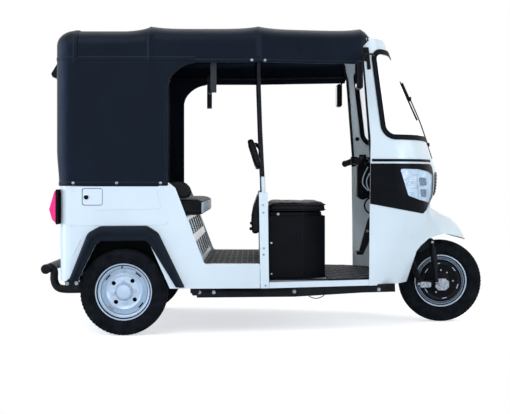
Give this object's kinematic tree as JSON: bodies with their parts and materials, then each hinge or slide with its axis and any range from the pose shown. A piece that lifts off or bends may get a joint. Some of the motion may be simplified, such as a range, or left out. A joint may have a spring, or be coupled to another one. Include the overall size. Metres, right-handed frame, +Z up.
{
  "type": "passenger motor tricycle",
  "caption": "Three-wheeled passenger auto rickshaw: white open-sided body, black soft top on a tube frame, single steered front wheel, driver's seat in front and a bench behind.",
  "frame": {"origin": "on the ground, under the middle of the bounding box", "axes": "+X forwards, +Y to the vehicle's left, +Z up"},
  "size_m": [2.744, 1.33, 1.825],
  "materials": {
    "white_paint": "gloss",
    "black_plastic": "satin",
    "black_steel": "satin",
    "soft_top_vinyl": "semi-gloss coated fabric",
    "seat_vinyl": "imitation leather, satin",
    "tyre_rubber": "matt",
    "silver_steel": "silver paint",
    "glass": "clear",
    "lamp_glass": "clear over a bright bowl",
    "red_lens": "glossy red-pink lens",
    "deck_rubber": "ribbed",
    "cast_alloy": "as cast"
  },
  "bodies": {
    "chassis": {"armrest_left": "seat_vinyl", "armrest_right": "seat_vinyl", "black_band": "black_plastic", "body_shell": "white_paint", "brake_pedal": "black_steel", "canopy_roof": "soft_top_vinyl", "canopy_wrap": "soft_top_vinyl", "chassis_frame": "black_steel", "dashboard": "black_plastic", "driver_backrest": "seat_vinyl", "driver_headrest": "seat_vinyl", "driver_seat_box": "black_plastic", "engine": "cast_alloy", "front_floor": "white_paint", "front_mat": "deck_rubber", "fuel_tank": "black_steel", "headlamp_left": "lamp_glass", "headlamp_right": "lamp_glass", "leaf_spring_left": "black_steel", "leaf_spring_right": "black_steel", "lower_cowl": "white_paint", "mirror_left": "black_plastic", "mirror_right": "black_plastic", "partition_frame": "black_steel", "rear_axle": "black_steel", "rear_bumper": "black_steel", "rear_floor": "deck_rubber", "rear_seat_back": "seat_vinyl", "rear_seat_cushion": "seat_vinyl", "rear_visor": "soft_top_vinyl", "rear_window": "glass", "roof_frame": "black_steel", "seat_base": "white_paint", "side_post_left": "white_paint", "side_post_right": "white_paint", "tail_lamp_left": "red_lens", "tail_lamp_right": "red_lens", "toe_board": "white_paint", "upper_cowl": "white_paint", "wheel_flare_left": "black_plastic", "wheel_flare_right": "black_plastic", "wheelhouse_left": "black_steel", "wheelhouse_right": "black_steel", "windscreen": "glass", "windscreen_seal": "black_plastic", "wiper": "black_steel"},
    "steering": {"fork": "black_steel", "handlebar": "black_plastic"},
    "front_wheel": {"front_tyre": "tyre_rubber", "front_rim": "silver_steel"},
    "rear_wheel_left": {"rear_tyre_left": "tyre_rubber", "rear_rim_left": "silver_steel"},
    "rear_wheel_right": {"rear_tyre_right": "tyre_rubber", "rear_rim_right": "silver_steel"},
    "fuel_door": {"fuel_door": "white_paint"},
    "rear_hatch": {"rear_hatch": "white_paint"},
    "driver_seat": {"driver_cushion": "seat_vinyl"}
  },
  "joints": [
    {"name": "steering_turn", "type": "hinge", "parent": "chassis", "child": "steering", "pos_m": [1.022, 0, 0.262], "axis": [-0.4617, 0, 0.887], "range_deg": [-35, 35]},
    {"name": "front_wheel_spin", "type": "hinge", "parent": "steering", "child": "front_wheel", "pos_m": [1.11, 0, 0.262], "axis": [0, 1, 0], "continuous": true},
    {"name": "rear_wheel_left_spin", "type": "hinge", "parent": "chassis", "child": "rear_wheel_left", "pos_m": [-0.845, 0.53, 0.254], "axis": [0, 1, 0], "continuous": true},
    {"name": "rear_wheel_right_spin", "type": "hinge", "parent": "chassis", "child": "rear_wheel_right", "pos_m": [-0.845, -0.53, 0.254], "axis": [0, 1, 0], "continuous": true},
    {"name": "fuel_door_hinge", "type": "hinge", "parent": "chassis", "child": "fuel_door", "pos_m": [-0.9623, -0.62, 0.808], "axis": [0, 0, 1], "range_deg": [0, 100]},
    {"name": "rear_hatch_hinge", "type": "hinge", "parent": "chassis", "child": "rear_hatch", "pos_m": [-1.22, 0, 0.8217], "axis": [0, 1, 0], "range_deg": [0, 80]},
    {"name": "driver_seat_hinge", "type": "hinge", "parent": "chassis", "child": "driver_seat", "pos_m": [0.004, 0, 0.775], "axis": [0, -1, 0], "range_deg": [0, 75]}
  ]
}
